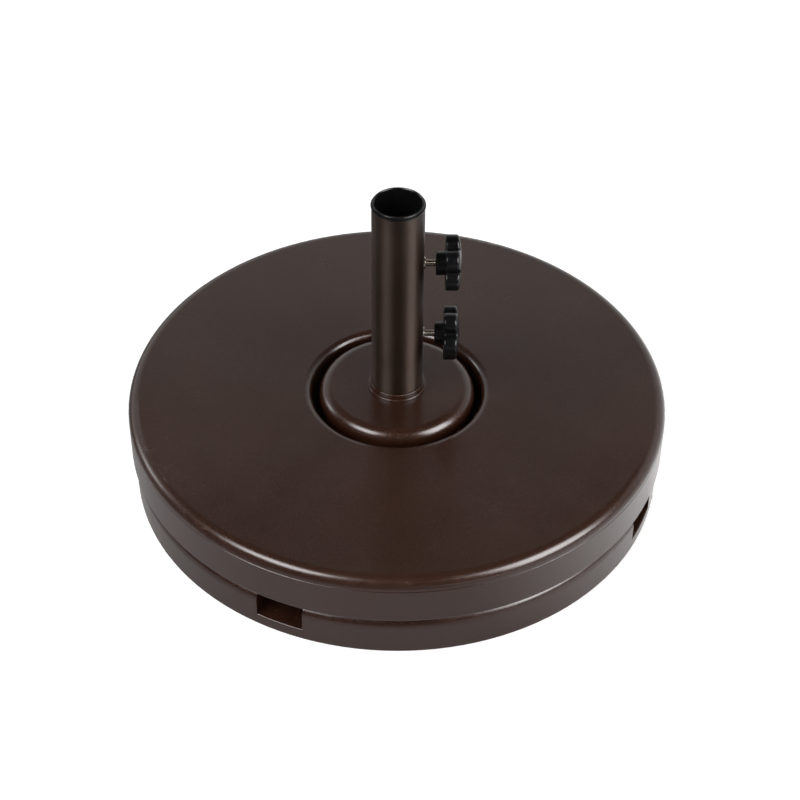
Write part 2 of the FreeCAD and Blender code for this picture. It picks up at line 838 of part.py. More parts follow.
def make_grip(name, height, turn):
    """Moulded star grip: a crowned, lobed head on a boss, hollow for the stud and its insert."""
    boss_start = value(BOSS_START)
    head_start = value(HEAD_START)
    thickness = value("Sizes.head_thickness")
    head_end = head_start + thickness
    crown = value("Sizes.head_crown")
    reach = value("Sizes.lobe_circle_radius") + value("Sizes.lobe_radius")
    dome_radius = (reach**2 + crown**2) / (2 * crown)
    dome = Part.makeSphere(dome_radius, Vector(0, 0, head_end - dome_radius))
    head = star_face(head_start).extrude(Vector(0, 0, thickness)).common(dome)
    top_face = max(head.Faces, key=lambda face: face.CenterOfMass.z)
    outer_edges = top_face.Edges
    head = head.makeFillet(value("Sizes.head_outer_round"), outer_edges)
    inner_edges = [edge for edge in head.Edges if edge.BoundBox.ZMax < head_start + 0.01]
    head = head.makeFillet(value("Sizes.head_inner_round"), inner_edges)
    boss_radius = value("Sizes.boss_diameter") / 2
    boss_end = head_start + thickness / 2
    boss = Part.makeCylinder(boss_radius, boss_end - boss_start, Vector(0, 0, boss_start))
    front_edge = [edge for edge in boss.Edges if edge.BoundBox.ZMax < boss_start + 0.01]
    boss = boss.makeChamfer(value("Sizes.boss_chamfer"), front_edge)
    grip = head.fuse(boss).removeSplitter()
    insert_room_radius = value("Sizes.insert_radius") + value("Sizes.stud_running_gap")
    insert_room_end = value(INSERT_END) + value("Sizes.stud_running_gap")
    insert_room = Part.makeCylinder(
        insert_room_radius, insert_room_end - boss_start, Vector(0, 0, boss_start)
    )
    stud_room_radius = value(STUD_RADIUS) + value("Sizes.bolt_thread_gap")
    stud_room_end = value(f"{INSERT_END} + Sizes.stud_seat_length") + value("Sizes.bolt_thread_gap")
    stud_room = Part.makeCylinder(
        stud_room_radius, stud_room_end - boss_start, Vector(0, 0, boss_start)
    )
    dish_depth = value("Sizes.dish_depth")
    dish = Part.makeCylinder(
        value("Sizes.dish_radius"), dish_depth, Vector(0, 0, head_end - dish_depth)
    )
    piece = doc.addObject("Part::Feature", name)
    piece.Label = name
    piece.Shape = grip.cut([insert_room, stud_room, dish])
    return finished(piece, on_knob_axis(height, turn))


make_base_shell()
make_base_concrete()
make_base_bottom_plate()
for pocket_number in range(1, POCKET_COUNT + 1):
    make_hand_pocket(pocket_number)
make_hub_cup()
make_socket_tube()
make_collar_ring()
make_socket_floor()
make_foot_pads()
make_stem_tube()
make_stem_end_plug()
make_stem_bolt()
make_stem_bolt_washer()
make_stem_liner()
make_ring_cap()
make_ring_band()
make_ring_inner_wall()
make_ring_bottom_plate()
make_ring_concrete()
make_ring_pads()
for place_name, knob_height in (("upper", UPPER_KNOB_HEIGHT), ("lower", LOWER_KNOB_HEIGHT)):
    make_bush(f"{place_name}_bush", knob_height)
    make_insert(f"{place_name}_insert", knob_height)
    make_stud(f"{place_name}_stud", knob_height)
    make_grip(f"{place_name}_grip", knob_height, f"Sizes.{place_name}_knob_turn")

doc.recompute()
for item in doc.Objects:
    if "Invalid" in item.State or "Error" in item.State:
        raise ValueError(f"{item.Label} failed: {item.State}")
for piece in pieces:
    if piece.Shape.isNull() or not piece.Shape.isValid():
        raise ValueError(f"{piece.Label} has no valid shape")

os.makedirs("parts", exist_ok=True)
for piece in pieces:
    piece.Shape.exportStep(f"parts/{piece.Label}.step")
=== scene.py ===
import json
import math

import bmesh
import bpy
from mathutils import Matrix, Vector


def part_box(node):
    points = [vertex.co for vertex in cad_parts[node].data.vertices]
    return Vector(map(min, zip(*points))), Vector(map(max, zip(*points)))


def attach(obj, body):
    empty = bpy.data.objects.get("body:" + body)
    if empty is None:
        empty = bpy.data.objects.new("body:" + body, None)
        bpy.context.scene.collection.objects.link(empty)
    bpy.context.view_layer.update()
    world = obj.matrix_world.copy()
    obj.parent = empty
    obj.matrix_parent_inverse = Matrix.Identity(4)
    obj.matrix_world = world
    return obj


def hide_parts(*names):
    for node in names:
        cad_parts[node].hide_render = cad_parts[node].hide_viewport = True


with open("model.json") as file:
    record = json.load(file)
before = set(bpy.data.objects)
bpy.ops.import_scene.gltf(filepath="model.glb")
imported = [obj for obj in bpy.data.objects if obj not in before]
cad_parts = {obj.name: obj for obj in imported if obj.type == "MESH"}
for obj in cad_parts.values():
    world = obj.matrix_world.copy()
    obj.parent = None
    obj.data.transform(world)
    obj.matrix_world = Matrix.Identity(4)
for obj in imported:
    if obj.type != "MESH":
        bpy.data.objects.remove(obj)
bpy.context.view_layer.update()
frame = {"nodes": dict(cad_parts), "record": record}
nodes = frame["nodes"]

# ---- studio ---------------------------------------------------------------------------
# A pale floor under an even white surround that darkens overhead, with two large softboxes
# in front of the base, one to each side, and a small reflector on the left. Glossy surfaces
# see these, a darker side round the camera and a floor that darkens away from the base.

STEM_FRONT = math.radians(24.2)  # the knobs' bearing, which the camera looks at square on
CAMERA_ASIDE = 0.0002
CAMERA_BACK = 1.6423
CAMERA_HEIGHT = 1.5460
CAMERA_PITCH = math.radians(41.570)
CAMERA_YAW = math.radians(-0.116)
CAMERA_ROLL = math.radians(0.484)
CAMERA_LENS = 86.2
CAMERA_SENSOR = 36.0
FLOOR_SIDE = 24.0
FLOOR_WHITE = 0.60
FLOOR_DULL = 0.9
FLOOR_GLOW = 0.62
FLOOR_RIGHT_SHEEN = (0.12, 0.36, 0.0, 1.0)
FLOOR_FALL_OFF = (0.42, 0.56, 0.0, 0.85)
SURROUND_STOPS = ((0.50, 1.0), (0.79, 0.80), (0.85, 0.07), (1.0, 0.05))
CAMERA_SIDE_SHADE = (-0.35, 0.0, 0.0, 0.88)
SOFTBOXES = (
    {
        "name": "left_softbox",
        "bearing": -142.0,
        "elevation": 45.0,
        "size": (1.55, 1.25),
        "sheen": 15.0,
        "fill": 33.0,
    },
    {
        "name": "right_softbox",
        "bearing": -28.0,
        "elevation": 33.0,
        "size": (1.8, 1.9),
        "sheen": 15.0,
        "fill": 33.0,
    },
    {
        "name": "side_reflector",
        "bearing": 160.0,
        "elevation": 18.0,
        "size": (0.7, 0.8),
        "sheen": 6.0,
        "fill": 0.0,
    },
)
SOFTBOX_DISTANCE = 2.3
SOFTBOX_EDGE = 0.45


def link(thing):
    bpy.context.scene.collection.objects.link(thing)
    return thing


def node(tree, kind, feeds=None, **settings):
    """Add a node. A feed that is a socket is linked to the input, any other is set on it."""
    made = tree.nodes.new(kind)
    for key, setting in settings.items():
        setattr(made, key, setting)
    for key, feed in (feeds or {}).items():
        if isinstance(feed, bpy.types.NodeSocket):
            tree.links.new(feed, made.inputs[key])
        else:
            made.inputs[key].default_value = feed
    return made


def first_out(tree, kind, feeds=None, **settings):
    """Add a node as above; gives its first output."""
    return node(tree, kind, feeds, **settings).outputs[0]


def ramp(tree, value, stops):
    """Colour ramp through (place, grey or colour) stops; gives its colour socket."""
    made = node(tree, "ShaderNodeValToRGB", {0: value})
    while len(made.color_ramp.elements) < len(stops):
        made.color_ramp.elements.new(0.5)
    for stop, (place, tone) in zip(made.color_ramp.elements, stops):
        stop.position = place
        stop.color = (tone, tone, tone, 1.0) if isinstance(tone, float) else (*tone, 1.0)
    return made.outputs["Color"]


def maths(tree, operation, *values):
    """Math node on the values or sockets given; gives its output."""
    return first_out(tree, "ShaderNodeMath", dict(enumerate(values)), operation=operation)


def fit(tree, value, low, high, to_low, to_high):
    """The value's span from low to high laid on another span, and held inside it."""
    feeds = {0: value, 1: low, 2: high, 3: to_low, 4: to_high}
    return first_out(tree, "ShaderNodeMapRange", feeds)


def facing(tree, way, towards):
    """How far a direction socket points along a fixed direction."""
    feeds = {0: way, 1: towards}
    return node(tree, "ShaderNodeVectorMath", feeds, operation="DOT_PRODUCT").outputs["Value"]


camera_data = bpy.data.cameras.new("camera")
camera_data.sensor_width = CAMERA_SENSOR
camera_data.lens = CAMERA_LENS
camera = link(bpy.data.objects.new("camera", camera_data))
turn = Matrix.Rotation(STEM_FRONT + CAMERA_YAW, 4, "Z")
tilt = Matrix.Rotation(math.pi / 2 - CAMERA_PITCH, 4, "X")
roll = Matrix.Rotation(CAMERA_ROLL, 4, "Z")
to_front = Matrix.Rotation(STEM_FRONT, 4, "Z")
stand = to_front @ Vector((CAMERA_ASIDE, -CAMERA_BACK, CAMERA_HEIGHT))
camera.matrix_world = Matrix.Translation(stand) @ turn @ tilt @ roll
bpy.context.scene.camera = camera
bpy.context.scene.view_settings.view_transform = "Standard"

world = bpy.data.worlds.new("white_surround")
bpy.context.scene.world = world
world.use_nodes = True
surround = world.node_tree
surround.nodes.clear()
sky_way = node(surround, "ShaderNodeTexCoord").outputs["Generated"]
sky_rise = node(surround, "ShaderNodeSeparateXYZ", {0: sky_way}).outputs["Z"]
sky_light = ramp(surround, maths(surround, "MULTIPLY_ADD", sky_rise, 0.5, 0.5), SURROUND_STOPS)
glossy_ray = node(surround, "ShaderNodeLightPath").outputs["Is Glossy Ray"]
front = to_front @ Vector((0.0, -1.0, 0.0))
camera_side = fit(surround, facing(surround, sky_way, front), *CAMERA_SIDE_SHADE)
lit = maths(surround, "SUBTRACT", 1.0, maths(surround, "MULTIPLY", camera_side, glossy_ray))
sky_light = maths(surround, "MULTIPLY", sky_light, lit)

for softbox in SOFTBOXES:
    bearing = math.radians(softbox["bearing"]) + STEM_FRONT
    rise = math.radians(softbox["elevation"])
    level_out = Vector((math.cos(bearing), math.sin(bearing), 0.0))
    away = level_out * math.cos(rise) + Vector((0.0, 0.0, math.sin(rise)))
    stance = away.to_track_quat("Z", "Y")
    lamp_data = bpy.data.lights.new(softbox["name"], "AREA")
    lamp_data.shape = "RECTANGLE"
    lamp_data.size, lamp_data.size_y = softbox["size"]
    lamp_data.energy = softbox["fill"]
    lamp = link(bpy.data.objects.new(softbox["name"], lamp_data))
    lamp.visible_glossy = False
    lamp.location = away * SOFTBOX_DISTANCE
    lamp.rotation_euler = stance.to_euler()
    ahead = facing(surround, sky_way, away)
    sheen = maths(surround, "MULTIPLY", maths(surround, "GREATER_THAN", ahead, 0.0), glossy_ray)
    for side, size in zip((Vector((1.0, 0.0, 0.0)), Vector((0.0, 1.0, 0.0))), softbox["size"]):
        reach = size / 2 / SOFTBOX_DISTANCE
        off = maths(surround, "DIVIDE", facing(surround, sky_way, stance @ side), ahead)
        off = maths(surround, "ABSOLUTE", off)
        inside = fit(surround, off, reach * (1.0 - SOFTBOX_EDGE), reach, 1.0, 0.0)
        sheen = maths(surround, "MULTIPLY", sheen, inside)
    sky_light = maths(surround, "MULTIPLY_ADD", sheen, softbox["sheen"], sky_light)

sky = node(surround, "ShaderNodeBackground", {"Color": sky_light})
node(surround, "ShaderNodeOutputWorld", {"Surface": sky.outputs[0]})

floor_mesh = bpy.data.meshes.new("floor")
half = FLOOR_SIDE / 2
corners = [(-half, -half, 0.0), (half, -half, 0.0), (half, half, 0.0), (-half, half, 0.0)]
floor_mesh.from_pydata(corners, [], [(0, 1, 2, 3)])
floor = link(bpy.data.objects.new("floor", floor_mesh))
floor_paint = bpy.data.materials.new("floor_paint")
floor_paint.use_nodes = True
floor_shader = floor_paint.node_tree.nodes["Principled BSDF"]
floor_shader.inputs["Roughness"].default_value = FLOOR_DULL
floor_shader.inputs["Emission Color"].default_value = (1.0, 1.0, 1.0, 1.0)
floor_tree = floor_paint.node_tree
floor_rays = node(floor_tree, "ShaderNodeLightPath").outputs
floor_place = node(floor_tree, "ShaderNodeTexCoord").outputs["Object"]
floor_length = node(floor_tree, "ShaderNodeVectorMath", {0: floor_place}, operation="LENGTH")
floor_shade = fit(floor_tree, floor_length.outputs["Value"], *FLOOR_FALL_OFF)
floor_shade = maths(floor_tree, "MULTIPLY", floor_shade, floor_rays["Is Glossy Ray"])
floor_colour = ramp(floor_tree, floor_shade, ((0.0, FLOOR_WHITE), (1.0, 0.0)))
floor_tree.links.new(floor_colour, floor_shader.inputs["Base Color"])
right = to_front @ Vector((1.0, 0.0, 0.0))
floor_sheen = fit(floor_tree, facing(floor_tree, floor_place, right), *FLOOR_RIGHT_SHEEN)
floor_sheen = maths(floor_tree, "MULTIPLY", floor_sheen, floor_rays["Is Glossy Ray"])
floor_glow = maths(floor_tree, "MULTIPLY_ADD", floor_rays["Is Camera Ray"], FLOOR_GLOW, floor_sheen)
floor_tree.links.new(floor_glow, floor_shader.inputs["Emission Strength"])
floor_mesh.materials.append(floor_paint)

# ---- base shell -----------------------------------------------------------------------
# The lower weight's shell is pressed from thin steel sheet, with a flat top and a rounded
# shoulder. It has a baked dark bronze powder coat, which lies in a faint orange peel and
# is rubbed a little along the shoulder, where the ring weight is put down on it.

COAT_BODY = (0.0270, 0.0098, 0.0054)
COAT_DEEP = (0.0205, 0.0071, 0.0038)
COAT_FLAKE = (0.085, 0.048, 0.034)
COAT_RUBBED = (0.060, 0.034, 0.025)
COAT_SMOOTH = 0.20
COAT_DULL = 0.27
COAT_PEEL_DEPTH = 0.000012
COAT_PEEL_SCALE = 420.0
COAT_FLAKE_SCALE = 1500.0
COAT_FLAKE_SHARE = 0.10
COAT_CLOUD_SCALE = 7.0
COAT_CLOUD_SPAN = (0.35, 0.65)
CURE_FINER = 3.0
FINE_PEEL_FINER = 4.0
FINE_PEEL_SHARE = 0.12
RUBBED_PATCH_SCALE = 55.0
RUBBED_PATCH_SPAN = (0.50, 0.72)
RUBBED_DULLER = 0.10
DUST_COLOUR = (0.070, 0.060, 0.053)
DUST_PATCH_SCALE = 9.0
DUST_DRIFT = (0.25, 0.80, 0.30, 1.0)
DUST_SPECK_FINER = 90.0
DUST_SPECK_REACH = 0.22
DUST_SPECK_SHARE = 0.6
DUST_DULLER = 0.12
SHOULDER_ROUND = 0.0125
SHOULDER_RUB_REACH = 0.005
SHOULDER_RUB = 0.6
ARC_INSET = 0.29  # how far a round edge's middle lies in from the corner, in radii
SHOULDER_INSET = SHOULDER_ROUND * ARC_INSET
SHELL_DUST = 0.10


def mix(tree, amount, first, second):
    """First colour where the amount is 0, second where it is 1."""
    feeds = {0: amount, 6: first, 7: second}
    return node(tree, "ShaderNodeMix", feeds, data_type="RGBA").outputs[2]


def grain(tree, place, scale, detail=2.0, roughness=0.5):
    """Noise value at a place, in patches of about 1 / scale metres."""
    feeds = {"Vector": place, "Scale": scale, "Detail": detail, "Roughness": roughness}
    return node(tree, "ShaderNodeTexNoise", feeds).outputs["Fac"]


def new_group(name, inputs, outputs):
    """Shader node group with named sockets; gives the group, its inputs and its output node."""
    group = bpy.data.node_groups.new(name, "ShaderNodeTree")
    for socket_name, kind in inputs:
        group.interface.new_socket(socket_name, in_out="INPUT", socket_type=f"NodeSocket{kind}")
    for socket_name, kind in outputs:
        group.interface.new_socket(socket_name, in_out="OUTPUT", socket_type=f"NodeSocket{kind}")
    return group, node(group, "NodeGroupInput").outputs, node(group, "NodeGroupOutput")


def put_out(group, end, **results):
    """Link each result to the group's output of that name."""
    for name, result in results.items():
        group.links.new(result, end.inputs[name])


def use(tree, group, feeds):
    """Place a group in a tree with its own values; gives its outputs."""
    made = node(tree, "ShaderNodeGroup", node_tree=group)
    for key, feed in feeds.items():
        if isinstance(feed, bpy.types.NodeSocket):
            tree.links.new(feed, made.inputs[key])
        else:
            made.inputs[key].default_value = (*feed, 1.0) if isinstance(feed, tuple) else feed
    return made.outputs


def object_place(tree):
    return node(tree, "ShaderNodeTexCoord").outputs["Object"]


def new_material(name):
    """Material with an empty tree but for its Principled shader; gives material, tree, shader."""
    material = bpy.data.materials.new(name)
    material.use_nodes = True
    tree = material.node_tree
    return material, tree, tree.nodes["Principled BSDF"]


def feed_shader(tree, shader, **feeds):
    """Link or set the shader's sockets; underscores in a name stand for spaces."""
    for key, feed in feeds.items():
        socket = shader.inputs[key.replace("_", " ")]
        if isinstance(feed, bpy.types.NodeSocket):
            tree.links.new(feed, socket)
        else:
            socket.default_value = feed


def bump(tree, height, depth):
    """Normal of a surface that stands out by up to the depth, in metres."""
    return node(tree, "ShaderNodeBump", {"Height": height, "Distance": depth}).outputs["Normal"]


def powder_coat_group():
    """Baked powder: two close tones in broad clouds, bright flakes, and an orange peel."""
    group, given, end = new_group(
        "powder_coat",
        (
            ("Place", "Vector"),
            ("Body", "Color"),
            ("Deep", "Color"),
            ("Flake", "Color"),
            ("Cloud Scale", "Float"),
            ("Flake Scale", "Float"),
            ("Flake Share", "Float"),
            ("Peel Scale", "Float"),
            ("Smooth", "Float"),
            ("Dull", "Float"),
        ),
        (("Colour", "Color"), ("Roughness", "Float"), ("Height", "Float")),
    )
    place = given["Place"]
    cloud = grain(group, place, given["Cloud Scale"], 4.0, 0.6)
    cloud = fit(group, cloud, *COAT_CLOUD_SPAN, 0.0, 1.0)
    body = mix(group, cloud, given["Deep"], given["Body"])
    cells = node(group, "ShaderNodeTexVoronoi", {"Vector": place, "Scale": given["Flake Scale"]})
    cell = first_out(group, "ShaderNodeSeparateColor", {0: cells.outputs["Color"]})
    bright = maths(group, "LESS_THAN", cell, given["Flake Share"])
    middle = fit(group, cells.outputs["Distance"], 0.0, 0.5, 1.0, 0.0)
    shine = maths(group, "MULTIPLY", bright, middle)
    colour = mix(group, shine, body, given["Flake"])
    cure_scale = maths(group, "MULTIPLY", given["Cloud Scale"], CURE_FINER)
    cure = grain(group, place, cure_scale, 5.0, 0.65)
    rough = fit(group, cure, 0.3, 0.7, given["Smooth"], given["Dull"])
    peel = grain(group, place, given["Peel Scale"], 1.0, 0.4)
    fine_scale = maths(group, "MULTIPLY", given["Peel Scale"], FINE_PEEL_FINER)
    fine = grain(group, place, fine_scale, 1.0, 0.5)
    height = maths(group, "MULTIPLY_ADD", fine, FINE_PEEL_SHARE, peel)
    put_out(group, end, Colour=colour, Roughness=rough, Height=height)
    return group


def long_side(tree, first, second):
    """Length of the long side of a right triangle from its two short ones."""
    squares = [maths(tree, "POWER", short, 2.0) for short in (first, second)]
    return maths(tree, "SQRT", maths(tree, "ADD", *squares))


def rubbed_edge_group():
    """Mask along a round edge of a given radius and height about the upright axis."""
    group, given, end = new_group(
        "rubbed_edge",
        (
            ("Place", "Vector"),
            ("Radius", "Float"),
            ("Height", "Float"),
            ("Reach", "Float"),
            ("Patch Scale", "Float"),
            ("Amount", "Float"),
        ),
        (("Mask", "Float"),),
    )
    split = node(group, "ShaderNodeSeparateXYZ", {0: given["Place"]}).outputs
    across = maths(group, "SUBTRACT", long_side(group, split["X"], split["Y"]), given["Radius"])
    above = maths(group, "SUBTRACT", split["Z"], given["Height"])
    far = maths(group, "DIVIDE", long_side(group, across, above), given["Reach"])
    near = maths(group, "SUBTRACT", 1.0, maths(group, "MINIMUM", far, 1.0))
    speckle = grain(group, given["Place"], given["Patch Scale"], 6.0, 0.7)
    patch = fit(group, speckle, *RUBBED_PATCH_SPAN, 0.0, 1.0)
    mask = maths(group, "MULTIPLY", maths(group, "MULTIPLY", near, patch), given["Amount"])
    put_out(group, end, Mask=mask)
    return group


def dust_group():
    """Mask of the fine dust that settles on surfaces that face up."""
    group, given, end = new_group(
        "settled_dust",
        (("Place", "Vector"), ("Patch Scale", "Float"), ("Amount", "Float")),
        (("Mask", "Float"),),
    )
    outward = node(group, "ShaderNodeNewGeometry").outputs["Normal"]
    upright = node(group, "ShaderNodeSeparateXYZ", {0: outward}).outputs["Z"]
    up = fit(group, upright, 0.5, 1.0, 0.0, 1.0)
    cloud = grain(group, given["Place"], given["Patch Scale"], 3.0, 0.5)
    drift = fit(group, cloud, *DUST_DRIFT)
    speck_scale = maths(group, "MULTIPLY", given["Patch Scale"], DUST_SPECK_FINER)
    speck_feeds = {"Vector": given["Place"], "Scale": speck_scale}
    specks = node(group, "ShaderNodeTexVoronoi", speck_feeds)
    speck = fit(group, specks.outputs["Distance"], 0.0, DUST_SPECK_REACH, 1.0, 0.0)
    thick = maths(group, "MULTIPLY_ADD", speck, DUST_SPECK_SHARE, drift)
    mask = maths(group, "MULTIPLY", maths(group, "MULTIPLY", up, thick), given["Amount"])
    put_out(group, end, Mask=mask)
    return group


powder_coat = powder_coat_group()
rubbed_edge = rubbed_edge_group()
settled_dust = dust_group()


def worn_along(tree, place, edge, patch_scale):
    """Mask of the wear along an edge given as (radius, height, reach, amount)."""
    feeds = dict(zip(("Radius", "Height", "Reach", "Amount"), edge))
    return use(tree, rubbed_edge, {"Place": place, "Patch Scale": patch_scale, **feeds})["Mask"]


def coat_material(name, edges, dust, cloud_scale=COAT_CLOUD_SCALE):
    """Bronze powder coat, rubbed along the edges given and dusty where it faces up."""
    material, tree, shader = new_material(name)
    place = object_place(tree)
    skin = use(
        tree,
        powder_coat,
        {
            "Place": place,
            "Body": COAT_BODY,
            "Deep": COAT_DEEP,
            "Flake": COAT_FLAKE,
            "Cloud Scale": cloud_scale,
            "Flake Scale": COAT_FLAKE_SCALE,
            "Flake Share": COAT_FLAKE_SHARE,
            "Peel Scale": COAT_PEEL_SCALE,
            "Smooth": COAT_SMOOTH,
            "Dull": COAT_DULL,
        },
    )
    colour = skin["Colour"]
    rough = skin["Roughness"]
    for edge in edges:
        worn = worn_along(tree, place, edge, RUBBED_PATCH_SCALE)
        colour = mix(tree, worn, colour, (*COAT_RUBBED, 1.0))
        rough = maths(tree, "MULTIPLY_ADD", worn, RUBBED_DULLER, rough)
    dust_feeds = {"Place": place, "Patch Scale": DUST_PATCH_SCALE, "Amount": dust}
    settled = use(tree, settled_dust, dust_feeds)["Mask"]
    colour = mix(tree, settled, colour, (*DUST_COLOUR, 1.0))
    rough = maths(tree, "MULTIPLY_ADD", settled, DUST_DULLER, rough)
    peel = bump(tree, skin["Height"], COAT_PEEL_DEPTH)
    feed_shader(tree, shader, Base_Color=colour, Roughness=rough, Normal=peel)
    return material


def paint(material, *names):
    """Give the CAD nodes of these names the material."""
    for name in names:
        slots = nodes[name].data.materials
        slots.clear()
        slots.append(material)


def round_edge_at(name, top, in_by, reach, amount):
    """Place of the round outer edge of a turned node, for the rubbed_edge group."""
    low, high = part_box(name)
    return (high.y - in_by, (high.z if top else low.z) - in_by, reach, amount)


shoulder = round_edge_at("base_shell", True, SHOULDER_INSET, SHOULDER_RUB_REACH, SHOULDER_RUB)
paint(coat_material("shell_coat", [shoulder], SHELL_DUST), "base_shell")

# ---- hand pockets ---------------------------------------------------------------------
# Four pressed steel trays welded into openings in the shell's rim, for lifting the ring
# weight off by its edge. They are coated with the shell; fingers rub the lower lips.

POCKET_COUNT = 4
POCKET_SHEET = 0.002
POCKET_CLOUD_SCALE = 24.0
POCKET_DUST = 0.04
LIP_IN = 0.0005
LIP_RUB_REACH = 0.004
LIP_RUB = 0.7

pocket_low, pocket_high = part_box("hand_pocket_1")
pocket_lip = (pocket_high.x - LIP_IN, pocket_low.z + POCKET_SHEET, LIP_RUB_REACH, LIP_RUB)
pocket_coat = coat_material("pocket_coat", [pocket_lip], POCKET_DUST, POCKET_CLOUD_SCALE)
paint(pocket_coat, *[f"hand_pocket_{number + 1}" for number in range(POCKET_COUNT)])

# ---- hub and socket -------------------------------------------------------------------
# A shallow pressed cup over the middle of the base, with the socket tube that takes the
# stem welded through it. A weld ring closes the joint, and all three are powder coated.

HUB_ROUND = 0.0135
HUB_RUB_REACH = 0.004
HUB_RUB = 0.5
HUB_DUST = 0.08
HUB_CLOUD_SCALE = 11.0
COLLAR_EDGE_IN = 0.0003
COLLAR_RUB_REACH = 0.0012
COLLAR_RUB = 0.9
COLLAR_DUST = 0.06
COLLAR_CLOUD_SCALE = 30.0

hub_edge = round_edge_at("hub_cup", True, HUB_ROUND * ARC_INSET, HUB_RUB_REACH, HUB_RUB)
paint(coat_material("hub_coat", [hub_edge], HUB_DUST, HUB_CLOUD_SCALE), "hub_cup")
collar_edges = [
    round_edge_at(name, True, COLLAR_EDGE_IN, COLLAR_RUB_REACH, COLLAR_RUB)
    for name in ("socket_tube", "collar_ring")
]
collar_coat = coat_material("collar_coat", collar_edges, COLLAR_DUST, COLLAR_CLOUD_SCALE)
paint(collar_coat, "socket_tube", "collar_ring")

# ---- concrete fills -------------------------------------------------------------------
# Both weights are filled with poured concrete, grey and a little uneven, with fine pores
# where air stayed against the steel.

CONCRETE_PALE = (0.42, 0.41, 0.39)
CONCRETE_DARK = (0.27, 0.26, 0.245)
CONCRETE_SAND = (0.50, 0.46, 0.40)
CONCRETE_ROUGH = (0.95, 0.82)
CONCRETE_CLOUD_SCALE = 14.0
CONCRETE_SAND_SCALE = 900.0
CONCRETE_SAND_FROM = 0.62
CONCRETE_SAND_SHOWS = 0.5
CONCRETE_PORE_SCALE = 160.0
CONCRETE_PORE_SPAN = (0.12, 0.22)
CONCRETE_PORE_DEPTH = 0.0006
CONCRETE_FINE_SCALE = 600.0
CONCRETE_FINE_SHARE = 0.25


def concrete_material():
    material, tree, shader = new_material("poured_concrete")
    place = object_place(tree)
    cloud = grain(tree, place, CONCRETE_CLOUD_SCALE, 6.0, 0.65)
    cloud = fit(tree, cloud, 0.3, 0.7, 0.0, 1.0)
    sand = grain(tree, place, CONCRETE_SAND_SCALE, 2.0)
    sand = maths(tree, "GREATER_THAN", sand, CONCRETE_SAND_FROM)
    sand = maths(tree, "MULTIPLY", sand, CONCRETE_SAND_SHOWS)
    colour = mix(tree, cloud, (*CONCRETE_DARK, 1.0), (*CONCRETE_PALE, 1.0))
    colour = mix(tree, sand, colour, (*CONCRETE_SAND, 1.0))
    cell_feeds = {"Vector": place, "Scale": CONCRETE_PORE_SCALE}
    cells = node(tree, "ShaderNodeTexVoronoi", cell_feeds)
    pore = fit(tree, cells.outputs["Distance"], *CONCRETE_PORE_SPAN, 0.0, 1.0)
    fine = grain(tree, place, CONCRETE_FINE_SCALE, 3.0)
    height = maths(tree, "MULTIPLY_ADD", fine, CONCRETE_FINE_SHARE, pore)
    rough = fit(tree, cloud, 0.0, 1.0, *CONCRETE_ROUGH)
    pores = bump(tree, height, CONCRETE_PORE_DEPTH)
    feed_shader(tree, shader, Base_Color=colour, Roughness=rough, Normal=pores)
    return material


paint(concrete_material(), "base_concrete", "ring_concrete")

# ---- bottom plates and tack welds -----------------------------------------------------
# A flat steel plate closes each weight from below. It is held to the rim by short weld
# beads spaced round its edge, ground off level and coated with the rest.

TACK_COUNT = 16
TACK_LENGTH = 0.013
TACK_WIDTH = 0.0042
TACK_HEIGHT = 0.00084
TACK_RIPPLE = 0.00035
TACK_RIPPLE_SCALE = 700.0
TACK_SEGMENTS = 20
TACK_RINGS = 14
TACK_SEED = 11
PLATE_RUB_REACH = 0.012
PLATE_RUB = 0.8
PLATE_CLOUD_SCALE = 5.0


def geo_tree(name, inputs):
    """Geometry node tree with named inputs; gives the tree, its inputs and its output node."""
    tree = bpy.data.node_groups.new(name, "GeometryNodeTree")
    for socket_name, kind in inputs:
        tree.interface.new_socket(socket_name, in_out="INPUT", socket_type=f"NodeSocket{kind}")
    tree.interface.new_socket("Geometry", in_out="OUTPUT", socket_type="NodeSocketGeometry")
    return tree, node(tree, "NodeGroupInput").outputs, node(tree, "NodeGroupOutput")


def geo_piece(name, tree, values):
    """Run a geometry node tree with its inputs set, and keep the result as a plain mesh."""
    holder = link(bpy.data.objects.new(f"{name}_maker", bpy.data.meshes.new(f"{name}_maker")))
    modifier = holder.modifiers.new("maker", "NODES")
    modifier.node_group = tree
    for socket in tree.interface.items_tree:
        if socket.in_out == "INPUT" and socket.name in values:
            modifier[socket.identifier] = values[socket.name]
    evaluated = holder.evaluated_get(bpy.context.evaluated_depsgraph_get())
    mesh = bpy.data.meshes.new_from_object(evaluated)
    mesh.name = name
    bpy.data.objects.remove(holder)
    return link(bpy.data.objects.new(name, mesh))


def round_spots(tree, given):
    """Points evenly spaced on a circle at a level, and the bearing of each."""
    step = maths(tree, "DIVIDE", math.tau, given["Count"])
    index = first_out(tree, "GeometryNodeInputIndex")
    bearing = maths(tree, "ADD", maths(tree, "MULTIPLY", index, step), given["First Bearing"])
    across = maths(tree, "MULTIPLY", maths(tree, "COSINE", bearing), given["Radius"])
    along = maths(tree, "MULTIPLY", maths(tree, "SINE", bearing), given["Radius"])
    spot = first_out(tree, "ShaderNodeCombineXYZ", {0: across, 1: along, 2: given["Level"]})
    point_feeds = {"Count": given["Count"], "Position": spot}
    points = first_out(tree, "GeometryNodePoints", point_feeds)
    return points, first_out(tree, "ShaderNodeCombineXYZ", {2: bearing})


def copies_at(tree, points, shape, bearing, **more):
    """Real copies of a shape on the points, each turned to its bearing."""
    feeds = {"Points": points, "Instance": shape, "Rotation": bearing, **more}
    copies = first_out(tree, "GeometryNodeInstanceOnPoints", feeds)
    return first_out(tree, "GeometryNodeRealizeInstances", {0: copies})


